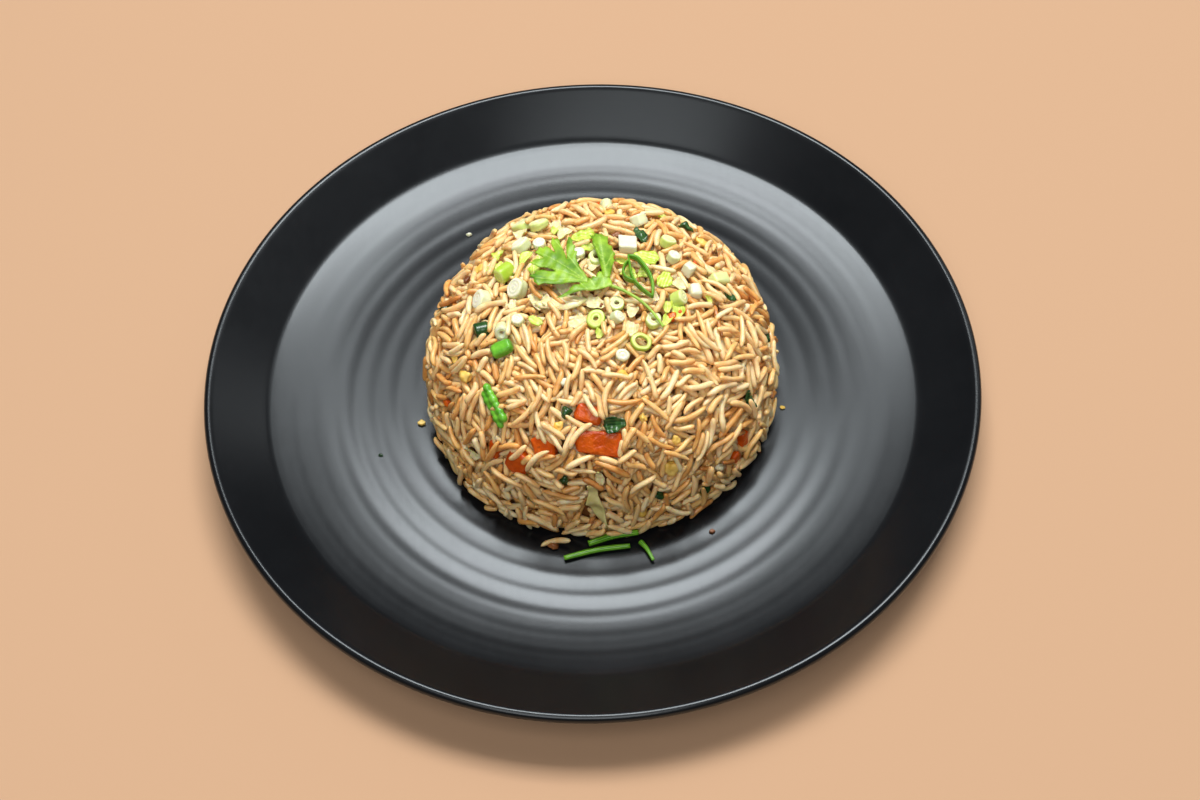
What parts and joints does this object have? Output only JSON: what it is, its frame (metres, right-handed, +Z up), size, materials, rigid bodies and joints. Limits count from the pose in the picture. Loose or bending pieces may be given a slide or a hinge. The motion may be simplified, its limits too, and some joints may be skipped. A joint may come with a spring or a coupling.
{
  "type": "fried rice plate",
  "caption": "Moulded dome of fried rice with chopped spring onion, carrot, greens and a coriander sprig, on a round black plate with a ribbed well.",
  "frame": {"origin": "middle of the plate's foot ring, on the surface the plate stands on", "axes": "+Z up, -Y towards the diner and the picture's viewpoint, +X to the diner's right"},
  "size_m": [0.28, 0.28, 0.0705],
  "materials": {
    "plate": "satin black melamine, moulded and lightly scuffed",
    "rice": "cooked long rice, soft and slightly oily, tan with browner grains",
    "white_onion": "moist raw onion white",
    "pale_onion": "moist pale green spring onion",
    "lime_onion": "moist yellow-green spring onion",
    "fresh_green": "fresh leaf green, satin, with veins",
    "dark_green": "cooked dark green vegetable, glossy",
    "carrot": "cooked carrot, moist, browned at the edges",
    "cabbage": "soft cooked cabbage, slightly clear"
  },
  "bodies": {
    "root": {"bean_1": "dark_green", "bean_2": "fresh_green", "bean_pod": "fresh_green", "cabbage_strip": "cabbage", "carrot_1": "carrot", "carrot_2": "carrot", "carrot_3": "carrot", "carrot_4": "carrot", "carrot_5": "carrot", "carrot_6": "carrot", "carrot_7": "carrot", "chive_1": "fresh_green", "chive_2": "fresh_green", "chive_3": "fresh_green", "coriander_sprig": "fresh_green", "green_leaf_1": "dark_green", "green_leaf_2": "dark_green", "green_leaf_3": "dark_green", "green_leaf_4": "dark_green", "green_leaf_5": "dark_green", "onion_curl": "fresh_green", "onion_dice_1": "white_onion", "onion_dice_2": "white_onion", "onion_dice_3": "white_onion", "onion_dice_4": "pale_onion", "onion_leaf_1": "lime_onion", "onion_leaf_2": "lime_onion", "onion_leaf_3": "lime_onion", "onion_leaf_4": "lime_onion", "onion_leaf_5": "lime_onion", "onion_petal": "pale_onion", "onion_slice_1": "pale_onion", "onion_slice_10": "white_onion", "onion_slice_11": "pale_onion", "onion_slice_12": "lime_onion", "onion_slice_13": "white_onion", "onion_slice_14": "pale_onion", "onion_slice_15": "pale_onion", "onion_slice_16": "white_onion", "onion_slice_17": "white_onion", "onion_slice_18": "pale_onion", "onion_slice_19": "pale_onion", "onion_slice_2": "pale_onion", "onion_slice_20": "lime_onion", "onion_slice_21": "white_onion", "onion_slice_22": "white_onion", "onion_slice_3": "white_onion", "onion_slice_4": "white_onion", "onion_slice_5": "lime_onion", "onion_slice_6": "white_onion", "onion_slice_7": "white_onion", "onion_slice_8": "white_onion", "onion_slice_9": "white_onion", "plate": "plate", "rice_heap": "rice"}
  },
  "joints": []
}
